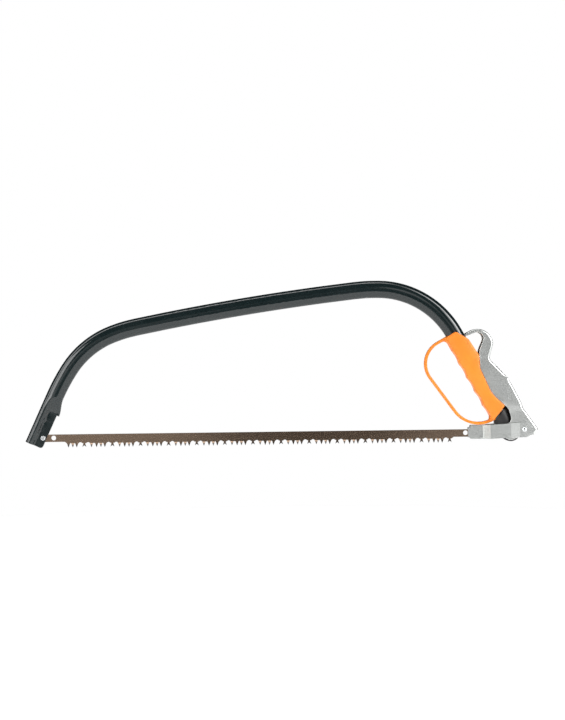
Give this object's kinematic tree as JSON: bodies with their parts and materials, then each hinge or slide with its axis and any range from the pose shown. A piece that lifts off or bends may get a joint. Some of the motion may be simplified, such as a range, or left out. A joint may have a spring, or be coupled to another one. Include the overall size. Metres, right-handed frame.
{
  "type": "bow saw",
  "caption": "Bow saw with a bent oval tube frame, a removable toothed blade, an over-centre tension lever and a grip with a knuckle guard.",
  "frame": {"origin": "centre of the saw's bounding box", "axes": "+X along the blade from the nose to the grip, +Y through the saw's thickness, +Z from the teeth up to the bow"},
  "size_m": [0.705, 0.0376, 0.2248],
  "materials": {
    "tube_paint": "glossy black enamel",
    "grip_plastic": "satin moulded orange plastic",
    "cap_plastic": "fine matt black plastic",
    "zinc_sheet": "pressed sheet with bright zinc plating",
    "blade_steel": "brown lacquered hardened steel with bare ground teeth",
    "bright_steel": "bright plated fasteners",
    "bush_steel": "turned steel"
  },
  "bodies": {
    "frame": {"frame_tube": "tube_paint", "handle_grip": "grip_plastic", "end_cap": "cap_plastic", "fulcrum_bush": "bush_steel", "fulcrum_washers": "bush_steel", "blade_screw": "bright_steel", "blade_screw_washer": "bright_steel", "blade_screw_nut": "bright_steel"},
    "lever": {"tension_lever": "zinc_sheet", "fulcrum_rivet": "bright_steel", "link_spacer": "bush_steel"},
    "link": {"stirrup": "zinc_sheet", "link_rivet": "bright_steel", "link_washers": "bright_steel"},
    "blade": {"blade": "blade_steel"}
  },
  "joints": [
    {"name": "lever_hinge", "type": "hinge", "parent": "frame", "child": "lever", "pos_m": [0.31585, 0, -0.09591], "axis": [0, 1, 0], "range_deg": [0, 85]},
    {"name": "link_hinge", "type": "hinge", "parent": "lever", "child": "link", "pos_m": [0.33411, 0, -0.09292], "axis": [0, 1, 0], "range_deg": [-82.97, 0]},
    {"name": "blade_hinge", "type": "hinge", "parent": "frame", "child": "blade", "pos_m": [-0.32794, 0, -0.09731], "axis": [0, 1, 0], "range_deg": [0, 2.05]}
  ],
  "couplings": [
    {"joint": "link_hinge", "follows": "lever_hinge", "ratio": -0.976},
    {"joint": "blade_hinge", "follows": "lever_hinge", "ratio": 0.024}
  ]
}
